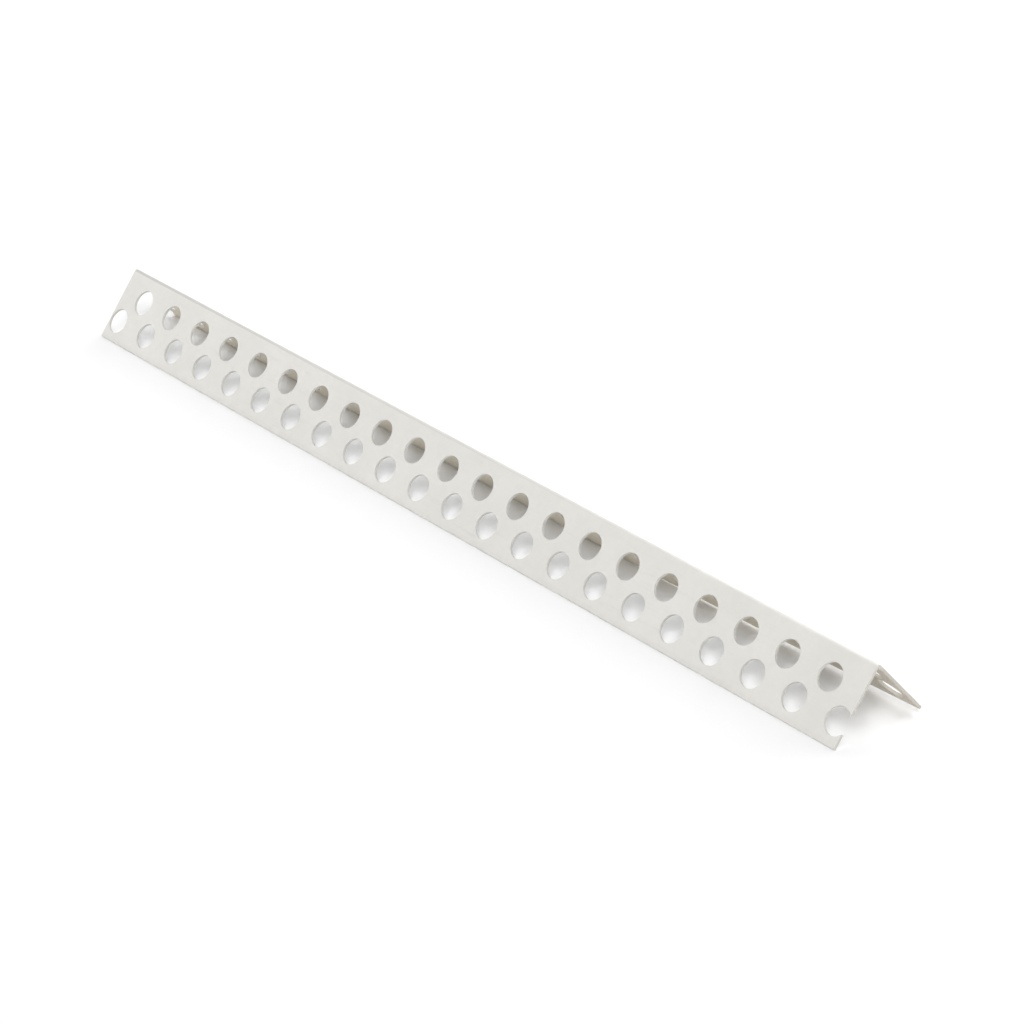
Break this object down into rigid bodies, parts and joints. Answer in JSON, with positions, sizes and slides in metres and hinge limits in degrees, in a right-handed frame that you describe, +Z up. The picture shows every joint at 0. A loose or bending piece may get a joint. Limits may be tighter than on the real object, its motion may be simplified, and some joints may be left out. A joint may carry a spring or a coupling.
{
  "type": "drywall corner bead",
  "caption": "Straight perforated vinyl corner bead: a thin plastic angle with a small rounded nose and rows of round holes along both legs, for outside drywall corners.",
  "frame": {"origin": "centre of the bottom of the bounding box, on the floor midway between the two free edges", "axes": "+X along the bead, +Y towards the back leg, +Z up to the nose"},
  "size_m": [0.4, 0.0342, 0.0231],
  "materials": {
    "vinyl": "matte"
  },
  "bodies": {
    "root": {"corner_bead": "vinyl"}
  },
  "joints": []
}
